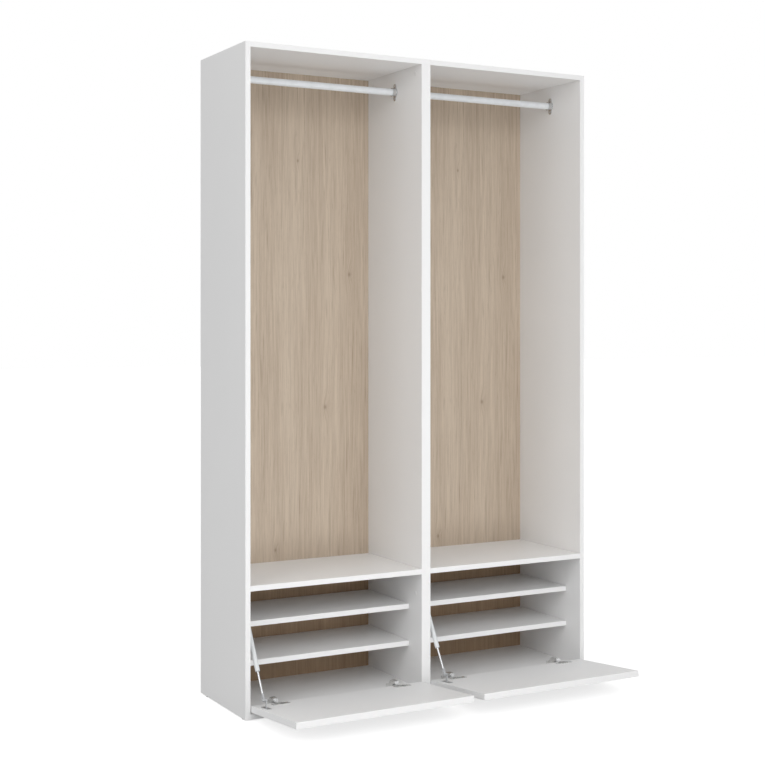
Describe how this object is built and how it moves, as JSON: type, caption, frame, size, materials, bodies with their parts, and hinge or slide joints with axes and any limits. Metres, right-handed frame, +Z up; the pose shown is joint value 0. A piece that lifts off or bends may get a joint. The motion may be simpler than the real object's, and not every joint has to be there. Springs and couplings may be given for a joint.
{
  "type": "open wardrobe with drop-down flaps",
  "caption": "Tall white open wardrobe in joined cabinets, each with a clothes rail, shoe shelves and a drop-down flap on cup hinges held by a strut.",
  "frame": {"origin": "on the floor, at the middle of the whole object's bounding box with both flaps open", "axes": "+Z up, +X to the right seen from the front, +Y towards the back; the front faces -Y"},
  "size_m": [1.234, 0.6684, 2.003],
  "materials": {
    "melamine": "white melamine-faced board, fine satin",
    "flap_melamine": "white melamine-faced board, fine satin",
    "oak_back": "light oak print, matt",
    "rail_metal": "satin",
    "socket_metal": "bright",
    "nickel": "bright nickel plate",
    "bracket_metal": "zinc plated",
    "screw_steel": "zinc plated",
    "cam_zinc": "cast zinc",
    "dowel_wood": "plain beech",
    "sleeve_plastic": "white",
    "glide_plastic": "black",
    "strut_paint": "light grey, satin",
    "strut_plastic": "grey",
    "rod_chrome": "bright"
  },
  "bodies": {
    "cabinets": {"left_cabinet_left_side": "melamine", "left_cabinet_right_side": "melamine", "right_cabinet_left_side": "melamine", "right_cabinet_right_side": "melamine", "left_top_panel": "melamine", "right_top_panel": "melamine", "left_bottom_panel": "melamine", "right_bottom_panel": "melamine", "left_fixed_shelf": "melamine", "right_fixed_shelf": "melamine", "left_upper_shoe_shelf": "melamine", "right_upper_shoe_shelf": "melamine", "left_lower_shoe_shelf": "melamine", "right_lower_shoe_shelf": "melamine", "left_back_panel": "oak_back", "right_back_panel": "oak_back", "left_clothes_rail": "rail_metal", "right_clothes_rail": "rail_metal", "rail_sockets": "socket_metal", "rail_socket_screws": "screw_steel", "shelf_pins": "screw_steel", "cam_locks": "cam_zinc", "cam_bolts": "screw_steel", "dowels": "dowel_wood", "joining_sleeves": "sleeve_plastic", "back_nails": "screw_steel", "glides": "glide_plastic", "hinge_arms": "nickel", "hinge_plates": "nickel", "hinge_plate_screws": "screw_steel", "hinge_arm_screws": "screw_steel", "hinge_pins": "nickel", "strut_side_brackets": "bracket_metal", "strut_side_screws": "screw_steel"},
    "left_flap_body": {"left_flap": "flap_melamine", "left_hinge_cups": "nickel", "left_cup_screws": "screw_steel", "left_flap_bracket": "bracket_metal", "left_flap_bracket_screws": "screw_steel"},
    "left_links_body": {"left_hinge_links": "nickel"},
    "left_cylinder_body": {"left_strut_cylinder": "strut_paint", "left_strut_top_eye": "strut_plastic"},
    "left_rod_body": {"left_strut_rod": "rod_chrome", "left_strut_rod_eye": "strut_plastic", "left_strut_pin": "bracket_metal"},
    "right_flap_body": {"right_flap": "flap_melamine", "right_hinge_cups": "nickel", "right_cup_screws": "screw_steel", "right_flap_bracket": "bracket_metal", "right_flap_bracket_screws": "screw_steel"},
    "right_links_body": {"right_hinge_links": "nickel"},
    "right_cylinder_body": {"right_strut_cylinder": "strut_paint", "right_strut_top_eye": "strut_plastic"},
    "right_rod_body": {"right_strut_rod": "rod_chrome", "right_strut_rod_eye": "strut_plastic", "right_strut_pin": "bracket_metal"}
  },
  "joints": [
    {"name": "left_flap_hinge", "type": "hinge", "parent": "cabinets", "child": "left_flap_body", "pos_m": [-0.3085, -0.02669, 0.02195], "axis": [-1, 0, 0], "range_deg": [0, 84.8]},
    {"name": "left_link_pivot", "type": "hinge", "parent": "cabinets", "child": "left_links_body", "pos_m": [-0.3085, -0.01279, 0.049], "axis": [-1, 0, 0], "range_deg": [-67.73, 0]},
    {"name": "left_strut_swing", "type": "hinge", "parent": "cabinets", "child": "left_cylinder_body", "pos_m": [-0.585, 0.04381, 0.289], "axis": [-1, 0, 0], "range_deg": [-23.87, 0]},
    {"name": "left_strut_slide", "type": "slide", "parent": "left_cylinder_body", "child": "left_rod_body", "axis": [0, -0.5107, -0.8598], "range_m": [-0.04444, 0]},
    {"name": "right_flap_hinge", "type": "hinge", "parent": "cabinets", "child": "right_flap_body", "pos_m": [0.3085, -0.02669, 0.02195], "axis": [-1, 0, 0], "range_deg": [0, 84.8]},
    {"name": "right_link_pivot", "type": "hinge", "parent": "cabinets", "child": "right_links_body", "pos_m": [0.3085, -0.01279, 0.049], "axis": [-1, 0, 0], "range_deg": [-67.73, 0]},
    {"name": "right_strut_swing", "type": "hinge", "parent": "cabinets", "child": "right_cylinder_body", "pos_m": [0.032, 0.04381, 0.289], "axis": [-1, 0, 0], "range_deg": [-23.87, 0]},
    {"name": "right_strut_slide", "type": "slide", "parent": "right_cylinder_body", "child": "right_rod_body", "axis": [0, -0.5107, -0.8598], "range_m": [-0.04444, 0]}
  ],
  "couplings": [
    {"joint": "left_link_pivot", "follows": "left_flap_hinge", "ratio": -0.79862},
    {"joint": "left_strut_swing", "follows": "left_flap_hinge", "ratio": -0.28146},
    {"joint": "left_strut_slide", "follows": "left_flap_hinge", "m_per_rad": -0.03002},
    {"joint": "right_link_pivot", "follows": "right_flap_hinge", "ratio": -0.79862},
    {"joint": "right_strut_swing", "follows": "right_flap_hinge", "ratio": -0.28146},
    {"joint": "right_strut_slide", "follows": "right_flap_hinge", "m_per_rad": -0.03002}
  ]
}
